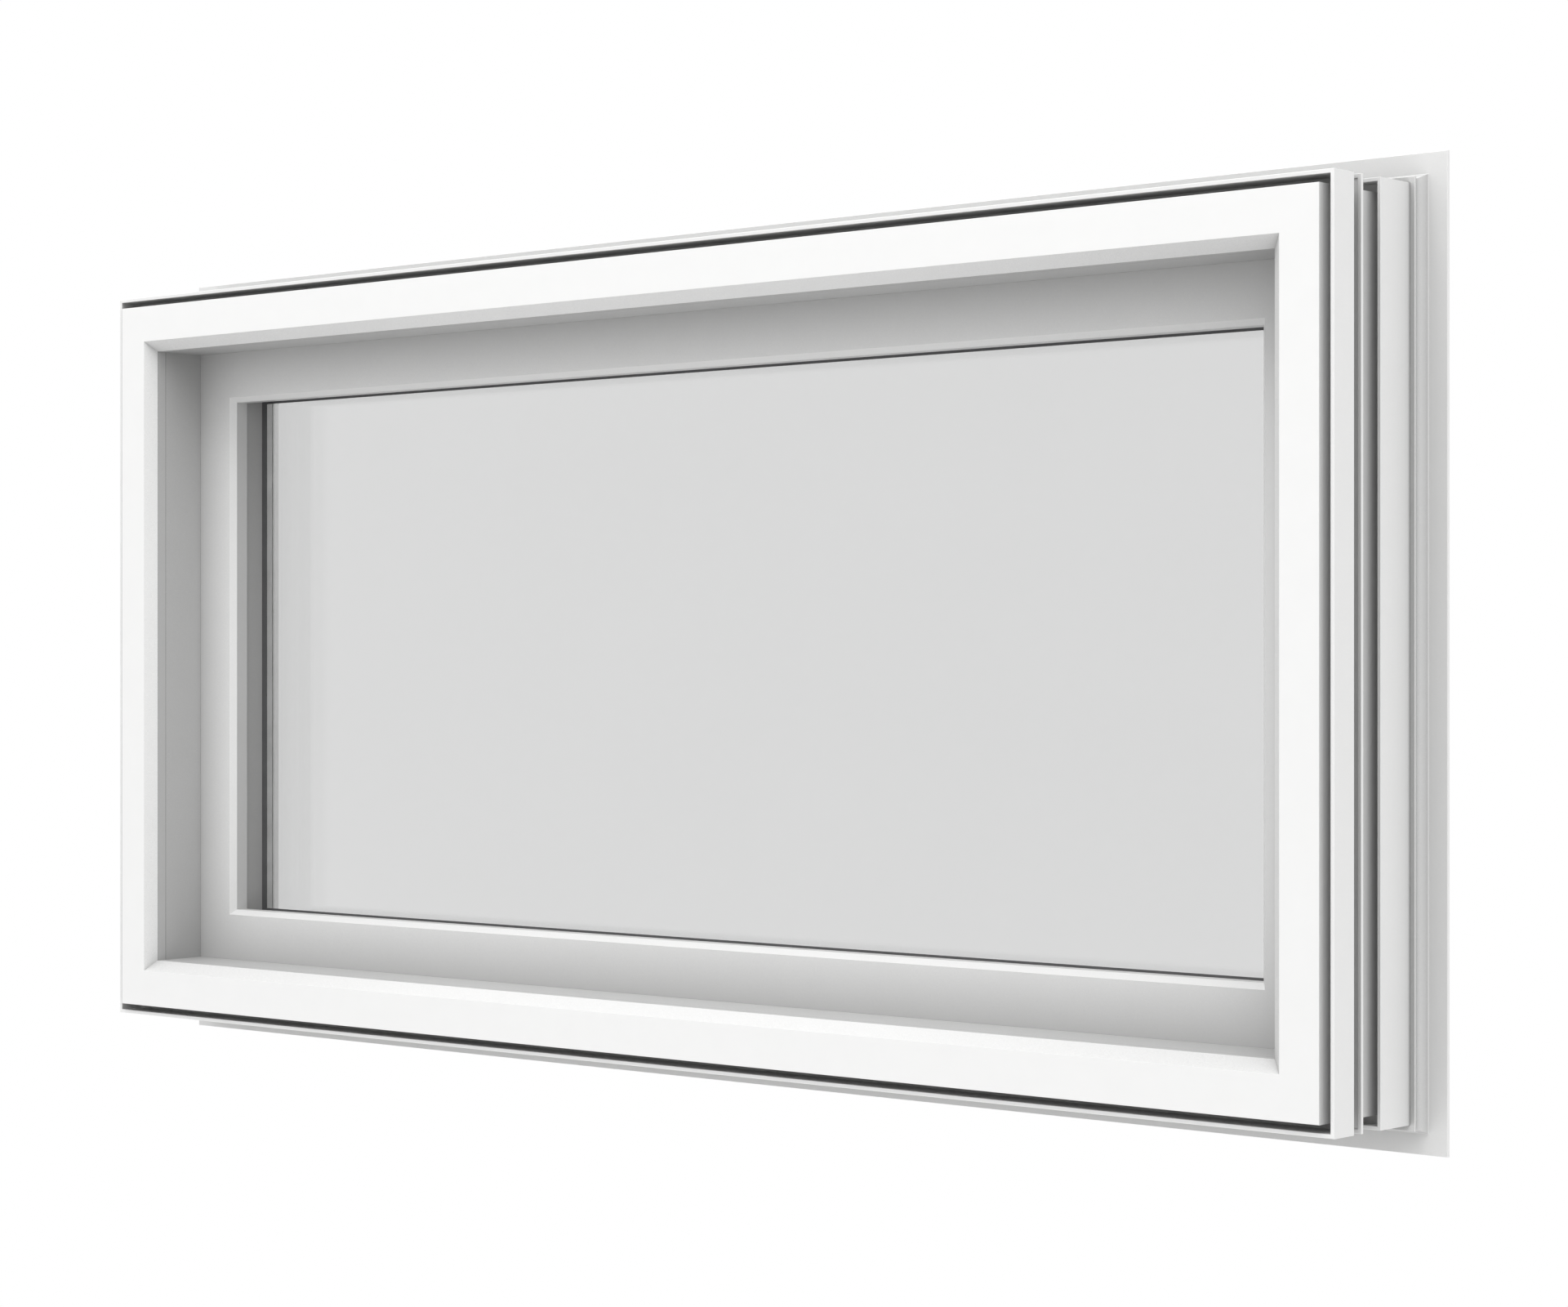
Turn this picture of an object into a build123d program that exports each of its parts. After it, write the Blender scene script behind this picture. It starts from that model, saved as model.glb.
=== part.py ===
"""A fixed white uPVC window with a nailing fin, seen from the room side in its closed, only state.

Millimetres, +Z up, +X along the width and +Y from the room to the outdoors.
The origin lies on the bearing face of the sill's nailing fin, at mid width and half way up that strip.
Every bar is an extruded profile.  A profile is drawn by two measures: depth, which runs back from the
front edge of the outer lip, and inset, which runs from the lip's outer face in towards the glass.
"""

import os

from build123d import *

# Overall size over the outer lips
frame_width = 1220.0
frame_height = 610.0

# Outer lip and the groove behind the interior cover's edge
lip_wall = 2.8
lip_depth = 23.4
groove_width = 5.6
groove_web = 2.7

# Interior cover: the flat face and the bevel that the room sees
cover_proud = 4.4
cover_face = 29.7
bevel_inset = 8.6
bevel_depth = 8.0
cover_return = 8.6
cover_wall = 2.4
joint_hairline = 0.2
snap_rib = 1.8
snap_length = 6.0
snap_clearance = 0.3

# Reveal between the cover and the sash
reveal_depth = 37.8
reveal_draft = 0.3

# Main frame walls
frame_wall = 2.8
frame_web = 1.8
rear_wall_width = 31.0
rear_reach = 25.0

# Accessory ribs and the anchor channel on the outer side
accessory_slot = 8.3
rib_head = 2.9
rib_thickness = 2.5
rib_neck = 1.6
channel_mouth = 20.3
channel_floor = 8.5
channel_undercut = 12.0
channel_lip = 2.5
channel_lip_depth = 35.2

# Nailing fin, a separate strip pressed into a kerf
fin_projection = 20.4
fin_thickness = 2.6
fin_flange_height = 3.9
fin_flange = 1.8
fin_neck_depth = 11.2
fin_neck_start = 1.7
fin_neck_knee = 3.0
fin_neck_knee_depth = 3.1
fin_neck_end = 6.4
fin_foot_depth = 8.4
kerf_offset = 3.8
kerf_width = 2.6
kerf_depth = 8.0
kerf_clearance = 0.2

# Sash
sash_gap = 0.5
sash_face = 38.0
sash_wall = 2.8
sash_web = 1.8
sash_lip = 3.0
rebate_step = 8.0
outer_leg = 8.0
outer_leg_height = 7.0
outer_leg_slope = 3.0

# Glazing bead
nose_inset = 4.2
nose_depth = 4.8
nose_land = 11.3
bead_step = 1.0
bead_taper = 2.2
bead_depth = 35.3
bead_wall = 1.8

# Sealed glass unit with its gasket and tape
gasket_depth = 3.1
gasket_rise = 2.7
glass_thickness = 3.0
glass_space = 6.5
glass_edge_gap = 2.5
glass_arris = 0.5
spacer_height = 4.0
sealant_height = 2.0
tape_thickness = 1.5

# Weep slots through the outdoor face of the sill
weep_length = 30.0
weep_height = 5.0
weep_rise = 6.0
weep_from_end = 180.0

# Rounding of the extruded corners that show, and how close two points count as one
corner_radius = 0.4
same_point = 0.01

# Insets that several profiles share
groove_inner = lip_wall + groove_width
face_inner = groove_inner + cover_face
reveal_inset = face_inner + bevel_inset
sash_inset = reveal_inset + reveal_draft
sash_outer = rear_wall_width + sash_gap
sash_inner = sash_inset + sash_face
rebate_inset = sash_inner - rebate_step
nose_top = sash_inner + nose_inset
bead_shoulder = nose_top - bead_step
bead_top = bead_shoulder - bead_taper
glass_edge = rebate_inset + glass_edge_gap
gasket_top = bead_top + gasket_rise

# Depths that several profiles share
face_depth = -cover_proud
bevel_back = face_depth + bevel_depth
joint_depth = bevel_back + cover_return
sash_depth = joint_depth + reveal_depth
rib_front = lip_depth + accessory_slot
rib_back = rib_front + rib_thickness
channel_lip_front = rib_back + channel_mouth
channel_back = channel_lip_front + channel_undercut
fin_front = channel_lip_front + channel_lip_depth
kerf_front = fin_front + kerf_offset
fin_depth = fin_front + fin_flange + fin_neck_depth
frame_back = fin_depth + rear_reach
bead_back = sash_depth + bead_depth
glass_front = bead_back + gasket_depth
glass_back = glass_front + 2 * glass_thickness + glass_space
leg_front = glass_back + tape_thickness
sash_back = leg_front + outer_leg

# The origin is on the bearing face of the sill's fin, half way up its flat strip
fin_middle = (fin_projection + fin_neck_end) / 2
window_middle = frame_height / 2 + fin_middle

# Direction of each side's length and of its way in towards the glass, and its outer length
sides = {
    "head": ((-1, 0, 0), (0, 0, -1), frame_width),
    "sill": ((1, 0, 0), (0, 0, 1), frame_width),
    "left": ((0, 0, -1), (1, 0, 0), frame_height),
    "right": ((0, 0, 1), (-1, 0, 0), frame_height),
}


def side_origin(inward):
    """Point on a side's outer face, at the middle of its length and at the lip's front edge."""
    return (
        -inward[0] * frame_width / 2,
        -fin_depth,
        window_middle - inward[2] * frame_height / 2,
    )


def mitred_bar(side, outline, chambers=(), sharp=()):
    """Extrude a profile of (depth, inset) points along one side and cut both ends at 45 degrees.

    Every corner is rounded, apart from the sharp ones.
    """
    along, inward, outer_length = sides[side]
    origin = side_origin(inward)
    across = tuple(Vector(*along).cross(Vector(*inward)))
    insets = [inset for depth, inset in outline]
    low = min(insets) - 1
    high = max(insets) + 1
    with BuildPart() as bar:
        with BuildSketch(Plane(origin=origin, x_dir=(0, 1, 0), z_dir=along)) as section:
            with BuildLine():
                Polyline(*outline, close=True)
            make_face()
            round_corners(section, sharp)
            for chamber in chambers:
                with BuildLine():
                    Polyline(*chamber, close=True)
                make_face(mode=Mode.SUBTRACT)
        extrude(amount=outer_length, both=True)
        with BuildSketch(Plane(origin=origin, x_dir=along, z_dir=across)):
            with BuildLine():
                Polyline(
                    (-outer_length / 2 + low, low),
                    (outer_length / 2 - low, low),
                    (outer_length / 2 - high, high),
                    (-outer_length / 2 + high, high),
                    close=True,
                )
            make_face()
        extrude(amount=frame_back + cover_proud, both=True, mode=Mode.INTERSECT)
    return bar


def round_corners(section, sharp):
    """Round a profile's corners that aren't among the sharp points."""
    kept = [Vector(*point) for point in sharp]
    corners = [
        corner
        for corner in section.vertices()
        if all((corner.center() - point).length > same_point for point in kept)
    ]
    if corners:
        fillet(corners, radius=corner_radius)


def box_points(depth_low, depth_high, inset_low, inset_high):
    """Four corners of a rectangular chamber."""
    return (
        (depth_low, inset_low),
        (depth_low, inset_high),
        (depth_high, inset_high),
        (depth_high, inset_low),
    )


def weeped(sill):
    """The sill with two drainage slots through the outdoor wall of its rear chamber."""
    face_origin = (0, frame_back - fin_depth, window_middle - frame_height / 2 + chamber_low + weep_rise)
    spread = frame_width - 2 * weep_from_end
    with BuildPart() as drained:
        add(sill.part)
        with BuildSketch(Plane(origin=face_origin, x_dir=(-1, 0, 0), z_dir=(0, 1, 0))):
            with GridLocations(spread, 0, 2, 1):
                SlotOverall(weep_length, weep_height)
        extrude(amount=-2 * frame_wall, mode=Mode.SUBTRACT)
    return drained


def write(bar, name):
    bar.part.label = name
    export_step(bar.part, f"parts/{name}.step")


os.makedirs("parts", exist_ok=True)

# Main frame: lip and groove, snap ribs, reveal wall, rear box, fin kerf, anchor channel, accessory rib
snap_low = groove_inner + cover_wall + snap_clearance
snap_high = reveal_inset - cover_wall - snap_clearance
lip_points = (
    (0, 0),
    (0, lip_wall),
    (lip_depth - groove_web, lip_wall),
    (lip_depth - groove_web, groove_inner),
    (joint_depth, groove_inner),
)
snap_points = (
    (joint_depth, snap_low),
    (joint_depth - snap_length, snap_low),
    (joint_depth - snap_length, snap_low + snap_rib),
    (joint_depth, snap_low + snap_rib),
    (joint_depth, snap_high - snap_rib),
    (joint_depth - snap_length, snap_high - snap_rib),
    (joint_depth - snap_length, snap_high),
    (joint_depth, snap_high),
)
reveal_points = (
    (joint_depth, reveal_inset),
    (sash_depth, sash_inset),
)
rebate_points = ((sash_depth, rear_wall_width),)
rear_points = (
    (frame_back, rear_wall_width),
    (frame_back, 0),
)
kerf_points = (
    (kerf_front + kerf_width, 0),
    (kerf_front + kerf_width, kerf_depth),
    (kerf_front, kerf_depth),
    (kerf_front, 0),
)
channel_lip_points = (
    (channel_lip_front, 0),
    (channel_lip_front, channel_lip),
)
channel_points = (
    (channel_back, channel_lip),
    (channel_back, channel_floor),
    (rib_back, channel_floor),
)
rib_points = (
    (rib_back, 0),
    (rib_front, 0),
    (rib_front, rib_head),
)
slot_points = (
    (rib_back - rib_neck, rib_head),
    (rib_back - rib_neck, groove_inner),
    (lip_depth, groove_inner),
)
frame_outline = (
    *lip_points,
    *snap_points,
    *reveal_points,
    *rebate_points,
    *rear_points,
    *kerf_points,
    *channel_lip_points,
    *channel_points,
    *rib_points,
    *slot_points,
    (lip_depth, 0),
)
frame_sharp = (
    *snap_points,
    reveal_points[0],
    *rebate_points,
    *kerf_points,
    *channel_points,
    *slot_points,
)
chamber_low = max(channel_floor, groove_inner, kerf_depth) + frame_wall
front_low = joint_depth + frame_wall
front_high = sash_depth - frame_wall
front_middle = (front_low + front_high) / 2
reveal_wall = reveal_inset - frame_wall
rear_high = frame_back - frame_wall
rear_low = front_high + frame_web
kerf_wall_back = kerf_front + kerf_width + frame_web
frame_chambers = (
    box_points(front_low, front_middle - frame_web / 2, chamber_low, reveal_wall),
    box_points(front_middle + frame_web / 2, front_high, chamber_low, reveal_wall),
    box_points(rear_low, rear_high, chamber_low, rear_wall_width - frame_wall),
    box_points(channel_back + frame_web, kerf_front - frame_web, frame_wall, chamber_low - frame_web),
    box_points(kerf_wall_back, rear_high, frame_wall, chamber_low - frame_web),
)

# Interior cover: an open channel whose outer leg stands on the frame and whose other leg ends in a hairline
cover_foot = (
    (joint_depth, groove_inner + cover_wall),
    (joint_depth, groove_inner),
)
cover_end = (
    (joint_depth - joint_hairline, reveal_inset),
    (joint_depth - joint_hairline, reveal_inset - cover_wall),
)
cover_inside = (
    (bevel_back + cover_wall / 2, reveal_inset - cover_wall),
    (face_depth + cover_wall, face_inner - cover_wall / 2),
    (face_depth + cover_wall, groove_inner + cover_wall),
)
cover_outline = (
    *cover_foot,
    (face_depth, groove_inner),
    (face_depth, face_inner),
    (bevel_back, reveal_inset),
    *cover_end,
    *cover_inside,
)
cover_sharp = cover_foot + cover_end + cover_inside

# Sash: front wall with its lip, glazing rebate, sloped outer leg
sash_rebate = (
    (sash_depth + sash_lip, sash_inner),
    (sash_depth + sash_lip, rebate_inset),
    (leg_front, rebate_inset),
)
sash_joint = (sash_depth, sash_inner)
sash_outline = (
    (sash_depth, sash_outer),
    sash_joint,
    *sash_rebate,
    (leg_front, rebate_inset + outer_leg_height),
    (sash_back, rebate_inset + outer_leg_height - outer_leg_slope),
    (sash_back, sash_outer),
)
sash_front_low = sash_depth + sash_wall
sash_front_high = sash_back - sash_wall
sash_third = (sash_front_high - sash_front_low - 2 * sash_web) / 3
sash_chambers = tuple(
    box_points(
        sash_front_low + number * (sash_third + sash_web),
        sash_front_low + number * (sash_third + sash_web) + sash_third,
        sash_outer + sash_wall,
        rebate_inset - sash_wall,
    )
    for number in range(3)
)

# Glazing bead: bevelled nose flush with the sash, tapered inner wall, hollow body on the rebate floor
bead_seat = (
    (bead_back, rebate_inset),
    (sash_depth + sash_lip, rebate_inset),
    (sash_depth + sash_lip, sash_inner),
)
land_front = sash_depth + nose_depth
land_back = land_front + nose_land
bead_outline = (
    sash_joint,
    (land_front, nose_top),
    (land_back, nose_top),
    (land_back, bead_shoulder),
    (bead_back, bead_top),
    *bead_seat,
)
bead_chambers = (
    box_points(
        sash_depth + sash_lip + bead_wall,
        bead_back - bead_wall,
        rebate_inset + bead_wall,
        bead_top - bead_wall,
    ),
)

# Wedge gasket between the bead and the glass, spacer bar inside the unit, tape under the outer leg
gasket_outline = (
    (bead_back, glass_edge),
    (bead_back, bead_top),
    (glass_front, gasket_top),
    (glass_front, glass_edge),
)
spacer_outline = box_points(
    glass_front + glass_thickness,
    glass_back - glass_thickness,
    glass_edge + sealant_height,
    glass_edge + sealant_height + spacer_height,
)
tape_outline = box_points(
    glass_back,
    leg_front,
    glass_edge,
    rebate_inset + outer_leg_height,
)

# Nailing fin: flange over the kerf, tongue in it, flared neck and flat fin
neck_front = fin_front + fin_flange
tongue_points = (
    (fin_front + fin_foot_depth, 0),
    (kerf_front + kerf_width - kerf_clearance, 0),
    (kerf_front + kerf_width - kerf_clearance, kerf_depth - kerf_clearance),
    (kerf_front + kerf_clearance, kerf_depth - kerf_clearance),
    (kerf_front + kerf_clearance, 0),
)
fin_outline = (
    (fin_front, 0),
    (fin_front, -fin_flange_height),
    (neck_front, -fin_flange_height),
    (neck_front, -fin_neck_start),
    (neck_front + fin_neck_knee_depth, -fin_neck_knee),
    (fin_depth, -fin_neck_end),
    (fin_depth, -fin_projection),
    (fin_depth + fin_thickness, -fin_projection),
    (fin_depth + fin_thickness, -fin_neck_end + fin_thickness / 2),
    *tongue_points,
)

for side in sides:
    frame_bar = mitred_bar(side, frame_outline, frame_chambers, frame_sharp)
    if side == "sill":
        frame_bar = weeped(frame_bar)
    write(frame_bar, f"frame_{side}")

    cover_bar = mitred_bar(side, cover_outline, sharp=cover_sharp)
    write(cover_bar, f"interior_cover_{side}")

    sash_bar = mitred_bar(side, sash_outline, sash_chambers, (sash_joint, *sash_rebate))
    write(sash_bar, f"sash_{side}")

    bead_bar = mitred_bar(side, bead_outline, bead_chambers, (sash_joint, *bead_seat))
    write(bead_bar, f"glazing_bead_{side}")

    gasket_bar = mitred_bar(side, gasket_outline, sharp=gasket_outline)
    write(gasket_bar, f"gasket_{side}")

    spacer_bar = mitred_bar(side, spacer_outline, sharp=spacer_outline)
    write(spacer_bar, f"spacer_{side}")

    tape_bar = mitred_bar(side, tape_outline, sharp=tape_outline)
    write(tape_bar, f"glazing_tape_{side}")

    fin_bar = mitred_bar(side, fin_outline, sharp=tongue_points)
    write(fin_bar, f"nail_fin_{side}")

# The two panes of the sealed unit, with ground edges
pane_fronts = {
    "inner_pane": glass_front,
    "outer_pane": glass_front + glass_thickness + glass_space,
}
for name, front in pane_fronts.items():
    with BuildPart() as pane:
        pane_plane = Plane(origin=(0, front - fin_depth, window_middle), x_dir=(1, 0, 0), z_dir=(0, -1, 0))
        with BuildSketch(pane_plane):
            Rectangle(frame_width - 2 * glass_edge, frame_height - 2 * glass_edge)
        extrude(amount=-glass_thickness)
        chamfer(pane.edges().filter_by(Axis.Y, reverse=True), length=glass_arris)
    write(pane, name)
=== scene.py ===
"""Looks of a fixed white uPVC window with a nailing fin, seen from the room side.

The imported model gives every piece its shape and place, in metres: +X to the right as seen from the room,
+Y to the outdoors and +Z up. This script gives each piece its finish and sets up a pale studio and the
photograph's camera.
"""

import math

import bpy
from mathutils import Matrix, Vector


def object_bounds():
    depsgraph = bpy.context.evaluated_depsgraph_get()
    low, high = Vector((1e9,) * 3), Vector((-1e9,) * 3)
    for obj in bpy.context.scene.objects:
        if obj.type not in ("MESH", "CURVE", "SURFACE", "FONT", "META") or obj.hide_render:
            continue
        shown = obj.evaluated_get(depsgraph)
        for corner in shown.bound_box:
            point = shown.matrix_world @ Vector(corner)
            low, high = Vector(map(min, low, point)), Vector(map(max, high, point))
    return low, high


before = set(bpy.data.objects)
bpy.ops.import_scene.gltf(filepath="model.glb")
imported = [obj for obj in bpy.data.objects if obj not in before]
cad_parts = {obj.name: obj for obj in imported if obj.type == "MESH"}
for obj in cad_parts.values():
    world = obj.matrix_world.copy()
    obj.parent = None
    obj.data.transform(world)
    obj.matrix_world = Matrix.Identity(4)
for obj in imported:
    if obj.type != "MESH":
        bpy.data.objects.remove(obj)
cad_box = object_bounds()
scene = bpy.context.scene
middle = (cad_box[0] + cad_box[1]) / 2

# Colours, as linear values
upvc_white = (0.90, 0.90, 0.895, 1.0)
rubber_grey = (0.060, 0.060, 0.062, 1.0)
foam_white = (0.80, 0.80, 0.79, 1.0)
spacer_white = (0.85, 0.85, 0.84, 1.0)
glass_tints = {"inner": (0.97, 0.97, 0.97, 1.0), "outer": (0.69, 0.692, 0.692, 1.0)}
floor_white = (0.86, 0.86, 0.86, 1.0)
pure_white = (1.0, 1.0, 1.0, 1.0)

# uPVC: noise steps a metre and octaves, with the die lines drawn out along the bar, how far the noise takes
# the colour and the roughness, the relief's strength and height, and how much it reflects
die_line_scale = 900.0
die_line_detail = 3.0
die_line_stretch = 0.02
mottle_scale = 45.0
peel_scale = 1600.0
peel_detail = 1.0
mottle_range = (0.985, 1.01)
upvc_roughness_spread = 0.05
upvc_relief = (0.25, 0.00004)
upvc_gloss = 0.25

# Shade painted into the uPVC's colour, darker where its own walls close in around it: how far it looks for
# them, the half size of the recess's mouth, and the widths over which the painted shade changes outside it,
# at a step and where it fades out
shade_reach = 0.35
shade_samples = 8
recess_half = (0.5719, 0.2669)
recess_border = 0.012
step_border = 0.0006
shade_fade = 0.006

# Depths at which the painted shade changes: the bevel's back, the joint behind the cover, the back of the
# bead's nose, the glass, the end of the fin's neck, and the plane on which the fin bears
bevel_back = -0.0991
cover_joint = -0.0907
nose_back = -0.0366
glass_front = -0.014
neck_end = -0.001
fin_plane = 0.0

# Finish and painted shade of each group of bars: its roughness, how steeply its painted shade falls, the
# depth of a step in the painted shade, the share of the colour that the deepest painted shade keeps before
# the step, behind it and outside the recess (None where the bars are all outside), and the depth at which the
# painted shade fades
bar_finish_and_painted_shade = {
    "frame": dict(
        roughness=0.38, power=2.0, step=cover_joint,
        front_floor=0.0, back_floor=0.38, outer_floor=0.5, fade_from=fin_plane,
    ),
    "interior_cover": dict(
        roughness=0.40, power=2.3, step=bevel_back,
        front_floor=0.02, back_floor=0.43, outer_floor=0.65, fade_from=fin_plane,
    ),
    "sash": dict(
        roughness=0.38, power=3.0, step=fin_plane,
        front_floor=0.51, back_floor=0.51, outer_floor=0.6, fade_from=glass_front,
    ),
    "glazing_bead": dict(
        roughness=0.38, power=2.0, step=nose_back,
        front_floor=0.58, back_floor=0.36, outer_floor=0.54, fade_from=fin_plane,
    ),
    "nail_fin": dict(
        roughness=0.5, power=2.0, step=neck_end,
        front_floor=0.22, back_floor=0.58, outer_floor=None, fade_from=fin_plane,
    ),
}

# Rubber, foam and plastic strips: noise steps a metre and octaves, how far the noise takes the colour and the
# roughness, and the relief's strength and height
pore_detail = 3.0
bloom_scale = 60.0
bloom_range = (0.8, 1.2)
strip_roughness_spread = 0.1
strip_relief = (0.4, 0.0001)
strip_finishes = {
    "gasket": dict(name="gasket_rubber_finish", colour=rubber_grey, roughness=0.6, pore_scale=2600.0),
    "glazing_tape": dict(name="tape_foam_finish", colour=foam_white, roughness=0.8, pore_scale=1500.0),
    "spacer": dict(name="spacer_plastic_finish", colour=spacer_white, roughness=0.55, pore_scale=2400.0),
}

# Glass: the low index of a coating against reflection, noise steps a metre and octaves, how far the noise
# takes the tint, and the relief's strength and height
coated_index = 1.36
cloud_scale = 6.0
cloud_range = (0.995, 1.005)
wave_scale = 7.0
wave_detail = 0.0
glass_relief = (0.06, 0.0004)

# Studio: the dome's even level and what it gains by direction, lamps as (place, edge length, watts), the
# floor's drop below the window and half width, and how white it shows within and beyond the shadow's reach
dome_level = 0.21
dome_right_rear_up = (0.33, 0.0, 0.74)
dome_left_front_down = (-0.21, 0.46, 0.0)
lamps = {
    "key": ((0.3, -1.5, 4.1), 2.4, 82.0),
    "right_front": ((2.6, -3.0, 4.0), 2.4, 18.0),
    "rear": ((-0.2, 4.2, 1.6), 2.4, 54.0),
}
floor_drop = 1.6
floor_half = 60.0
floor_roughness = 0.9
floor_glow = 0.85
shadow_near = 2.0
shadow_far = 7.0

# Camera, from the photograph's perspective
camera_place = (1.8166, -1.9914, 0.3125)
camera_turn = math.radians(41.44)
camera_lens = 80.957
camera_sensor = 36.0
camera_shift_up = 0.00604


def add_node(tree, kind, inputs=None, **settings):
    """Add a node, set its options, and set or link its inputs."""
    made = tree.nodes.new(kind)
    for name, value in settings.items():
        setattr(made, name, value)
    for name, value in (inputs or {}).items():
        if isinstance(value, bpy.types.NodeSocket):
            tree.links.new(value, made.inputs[name])
        else:
            made.inputs[name].default_value = value
    return made


def number(tree, operation, first, second):
    """The result of a sum on two numbers, each a value or a socket."""
    return add_node(tree, "ShaderNodeMath", {0: first, 1: second}, operation=operation).outputs["Value"]


def vector(tree, operation, *terms):
    """The result of a sum on vectors, each a value or a socket."""
    made = add_node(tree, "ShaderNodeVectorMath", dict(enumerate(terms)), operation=operation)
    return made.outputs["Vector"]


def noise(tree, place, scale, detail=2.0):
    """Noise with a number of steps a metre, and of finer octaves."""
    inputs = {"Vector": place, "Scale": scale, "Detail": detail}
    return add_node(tree, "ShaderNodeTexNoise", inputs).outputs["Fac"]


def spread(tree, value, low, high):
    """A 0 to 1 value taken to the range from low to high, each a number or a socket."""
    inputs = {"Value": value, "To Min": low, "To Max": high}
    return add_node(tree, "ShaderNodeMapRange", inputs).outputs["Result"]


def ramp(tree, value, start, width):
    """0 up to a start value, rising to 1 over a width."""
    inputs = {"Value": value, "From Min": start, "From Max": start + width}
    return add_node(tree, "ShaderNodeMapRange", inputs).outputs["Result"]


def tinted(tree, factor, colour):
    """A colour multiplied by a factor that varies over the surface."""
    return vector(tree, "MULTIPLY", colour[:3], factor)


def new_material(name):
    """A node material, its tree, its Principled shader and the place on the piece, in metres."""
    material = bpy.data.materials.new(name)
    material.use_nodes = True
    tree = material.node_tree
    place = add_node(tree, "ShaderNodeTexCoord").outputs["Object"]
    return material, tree, tree.nodes["Principled BSDF"], place


def emboss(tree, shader, height, strength, distance):
    """Bump a surface by a height that varies over it."""
    bump = add_node(tree, "ShaderNodeBump", {"Height": height, "Strength": strength, "Distance": distance})
    tree.links.new(bump.outputs["Normal"], shader.inputs["Normal"])


def outside_recess(tree, place):
    """0 within the recess's mouth, rising to 1 over a border on the flat front face; it sets how deep the
    painted shade goes.
    """
    reach = vector(tree, "ABSOLUTE", vector(tree, "SUBTRACT", place, middle))
    beyond = vector(tree, "SUBTRACT", reach, (recess_half[0], 0.0, recess_half[1]))
    parts = add_node(tree, "ShaderNodeSeparateXYZ", {"Vector": beyond}).outputs
    return ramp(tree, number(tree, "MAXIMUM", parts["X"], parts["Z"]), 0.0, recess_border)


def painted_wall_shade(tree, place, power, step, front_floor, back_floor, outer_floor, fade_from):
    """The share of its colour that the uPVC keeps among its own walls: shade painted into the colour, deeper
    where the walls close in.
    """
    inputs = {"Distance": shade_reach}
    opened = add_node(tree, "ShaderNodeAmbientOcclusion", inputs, samples=shade_samples).outputs["AO"]
    depth = add_node(tree, "ShaderNodeSeparateXYZ", {"Vector": place}).outputs["Y"]
    floor = spread(tree, ramp(tree, depth, step, step_border), front_floor, back_floor)
    if outer_floor:
        floor = spread(tree, outside_recess(tree, place), floor, outer_floor)
    faded_floor = spread(tree, ramp(tree, depth, fade_from, shade_fade), floor, 1.0)
    return spread(tree, number(tree, "POWER", opened, power), faded_floor, 1.0)


def upvc(name, stretch, roughness, **painted_shading):
    """White extruded uPVC: die lines along the bar, a faint mottle, and shade painted into its colour among
    its own walls.
    """
    material, tree, shader, place = new_material(name)
    along = add_node(tree, "ShaderNodeMapping", {"Vector": place, "Scale": stretch}).outputs["Vector"]
    lines = noise(tree, along, die_line_scale, die_line_detail)
    mottle = spread(tree, noise(tree, place, mottle_scale), *mottle_range)
    peel = noise(tree, place, peel_scale, peel_detail)

    # The colour is the uPVC's white times painted shade among its walls and a faint mottle of its own tone.
    shade = number(tree, "MULTIPLY", painted_wall_shade(tree, place, **painted_shading), mottle)
    tree.links.new(tinted(tree, shade, upvc_white), shader.inputs["Base Color"])
    polish = spread(tree, lines, roughness - upvc_roughness_spread, roughness + upvc_roughness_spread)
    tree.links.new(polish, shader.inputs["Roughness"])
    emboss(tree, shader, number(tree, "ADD", lines, peel), *upvc_relief)
    shader.inputs["Specular IOR Level"].default_value = upvc_gloss
    return material


def strip(name, colour, roughness, pore_scale):
    """Matt rubber, foam or plastic with a fine pore and a slightly uneven colour."""
    material, tree, shader, place = new_material(name)
    pores = noise(tree, place, pore_scale, pore_detail)
    bloom = spread(tree, noise(tree, place, bloom_scale), *bloom_range)
    tree.links.new(tinted(tree, bloom, colour), shader.inputs["Base Color"])
    polish = spread(tree, pores, roughness - strip_roughness_spread, roughness + strip_roughness_spread)
    tree.links.new(polish, shader.inputs["Roughness"])
    emboss(tree, shader, pores, *strip_relief)
    return material


def tinted_glass(name, tint):
    """Coated float glass, with the long faint waves that float glass has."""
    material, tree, shader, place = new_material(name)
    cloud = spread(tree, noise(tree, place, cloud_scale), *cloud_range)
    tree.links.new(tinted(tree, cloud, tint), shader.inputs["Base Color"])
    shader.inputs["Roughness"].default_value = 0.0
    shader.inputs["Transmission Weight"].default_value = 1.0
    shader.inputs["IOR"].default_value = coated_index
    emboss(tree, shader, noise(tree, place, wave_scale, wave_detail), *glass_relief)
    return material


def give(group, sides, material):
    """Give a material to the pieces of a group on some sides of the window."""
    for side in sides:
        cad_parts[f"{group}_{side}"].material_slots[0].material = material


def dress():
    """Give every piece the finish of its slot, with the die lines of a bar along its length, and shade
    painted into the uPVC's colour.
    """
    level_sides = ("head", "sill")
    upright_sides = ("left", "right")
    for group, finish in bar_finish_and_painted_shade.items():
        give(group, level_sides, upvc(f"{group}_level", (die_line_stretch, 1.0, 1.0), **finish))
        give(group, upright_sides, upvc(f"{group}_upright", (1.0, 1.0, die_line_stretch), **finish))
    for group, finish in strip_finishes.items():
        give(group, level_sides + upright_sides, strip(**finish))
    for pane, tint in glass_tints.items():
        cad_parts[f"{pane}_pane"].material_slots[0].material = tinted_glass(f"{pane}_glass_finish", tint)


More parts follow.
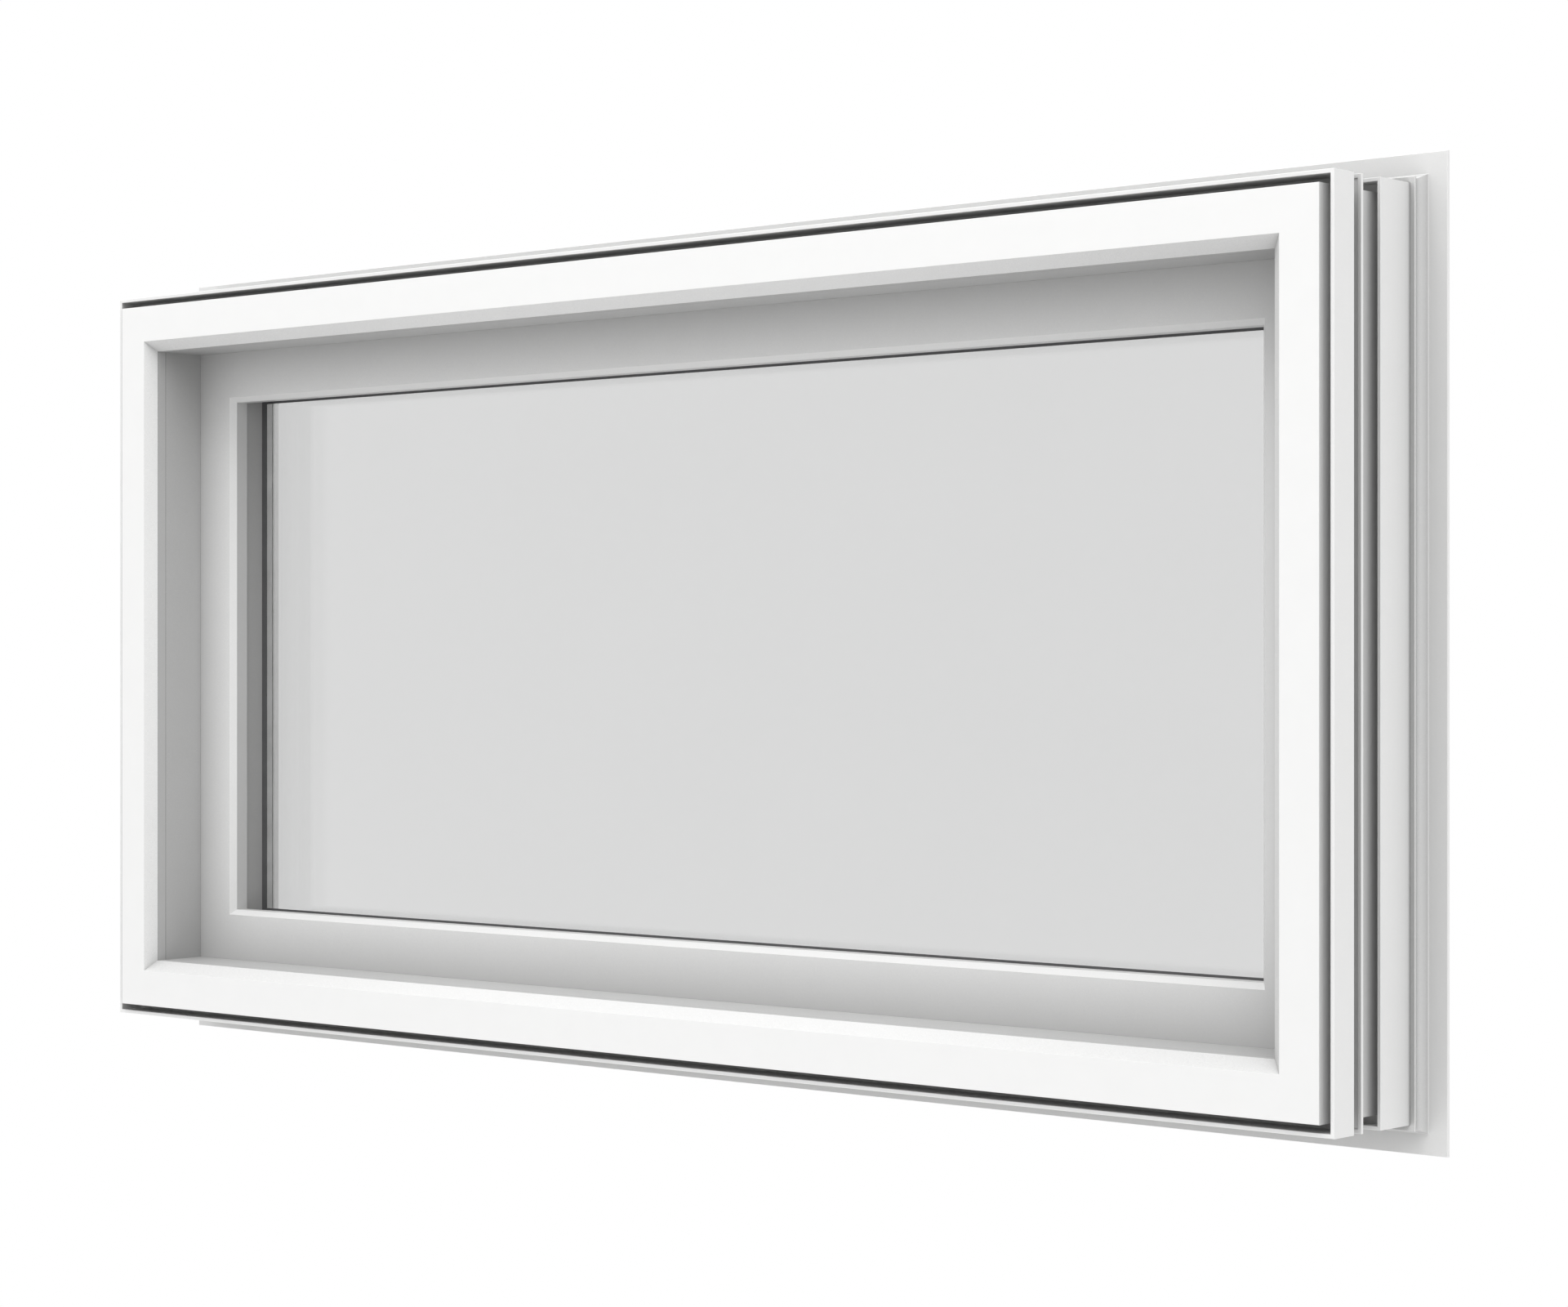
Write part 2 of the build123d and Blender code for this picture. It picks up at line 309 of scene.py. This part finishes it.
def seen_directly(tree):
    """1 for a camera, mirror or glass ray, and 0 for a ray that gathers light."""
    path = add_node(tree, "ShaderNodeLightPath").outputs
    mirrored = number(tree, "MAXIMUM", path["Is Glossy Ray"], path["Is Transmission Ray"])
    return number(tree, "MAXIMUM", path["Is Camera Ray"], mirrored)


def floor_finish():
    """A matt pale floor that shows nearly white where the window's shadow falls, and white far off."""
    material, tree, shader, place = new_material("floor_finish")
    shader.inputs["Base Color"].default_value = floor_white
    shader.inputs["Roughness"].default_value = floor_roughness
    glow = add_node(tree, "ShaderNodeEmission", {"Color": pure_white, "Strength": 1.0})
    distance = add_node(tree, "ShaderNodeVectorMath", {0: place}, operation="LENGTH").outputs["Value"]
    whiteness = spread(tree, ramp(tree, distance, shadow_near, shadow_far - shadow_near), floor_glow, 1.0)
    share = number(tree, "MULTIPLY", seen_directly(tree), whiteness)
    shaders = {0: share, 1: shader.outputs["BSDF"], 2: glow.outputs["Emission"]}
    mixed = add_node(tree, "ShaderNodeMixShader", shaders)
    tree.links.new(mixed.outputs["Shader"], tree.nodes["Material Output"].inputs["Surface"])
    return material


def studio_floor():
    """A wide pale floor below the window."""
    height = cad_box[0].z - floor_drop
    corners = [(-1, -1), (1, -1), (1, 1), (-1, 1)]
    mesh = bpy.data.meshes.new("studio_floor")
    mesh.from_pydata([(x * floor_half, y * floor_half, height) for x, y in corners], [], [(0, 1, 2, 3)])
    mesh.materials.append(floor_finish())
    floor = bpy.data.objects.new("studio_floor", mesh)
    scene.collection.objects.link(floor)


def gained(tree, way, bound, gains):
    """What the dome gains from the parts of a direction above zero, by MAXIMUM, or below it, by MINIMUM."""
    part = vector(tree, bound, way, (0.0, 0.0, 0.0))
    made = add_node(tree, "ShaderNodeVectorMath", {0: part, 1: gains}, operation="DOT_PRODUCT")
    return made.outputs["Value"]


def studio_world():
    """A soft dome that shows as plain white."""
    world = bpy.data.worlds.new("studio")
    scene.world = world
    world.use_nodes = True
    tree = world.node_tree
    dome = tree.nodes["Background"]
    dome.inputs["Color"].default_value = pure_white
    way = add_node(tree, "ShaderNodeTexCoord").outputs["Generated"]
    ahead = gained(tree, way, "MAXIMUM", dome_right_rear_up)
    behind = gained(tree, way, "MINIMUM", [-gain for gain in dome_left_front_down])
    level = number(tree, "ADD", number(tree, "ADD", ahead, behind), dome_level)
    tree.links.new(level, dome.inputs["Strength"])
    backdrop = add_node(tree, "ShaderNodeBackground", {"Color": pure_white, "Strength": 1.0})
    shaders = {0: seen_directly(tree), 1: dome.outputs["Background"], 2: backdrop.outputs["Background"]}
    mixed = add_node(tree, "ShaderNodeMixShader", shaders)
    tree.links.new(mixed.outputs["Shader"], tree.nodes["World Output"].inputs["Surface"])


def studio_lamps():
    """Square soft boxes aimed at the middle of the window, and hidden from the eye, through the glass too."""
    for name, (place, edge, watts) in lamps.items():
        light = bpy.data.lights.new(f"{name}_lamp", "AREA")
        light.size = edge
        light.energy = watts
        lamp = bpy.data.objects.new(f"{name}_lamp", light)
        lamp.location = place
        lamp.rotation_euler = (middle - Vector(place)).to_track_quat("-Z", "Y").to_euler()
        lamp.visible_camera = False
        lamp.visible_transmission = False
        scene.collection.objects.link(lamp)


def photo_camera():
    """The photograph's view: level, at mid height, from the right."""
    data = bpy.data.cameras.new("photo_camera")
    data.sensor_width = camera_sensor
    data.lens = camera_lens
    data.shift_y = camera_shift_up
    camera = bpy.data.objects.new("photo_camera", data)
    camera.location = camera_place
    camera.rotation_euler = (math.pi / 2, 0.0, camera_turn)
    scene.collection.objects.link(camera)
    scene.camera = camera


dress()
studio_floor()
studio_world()
studio_lamps()
photo_camera()
scene.view_settings.view_transform = "Standard"
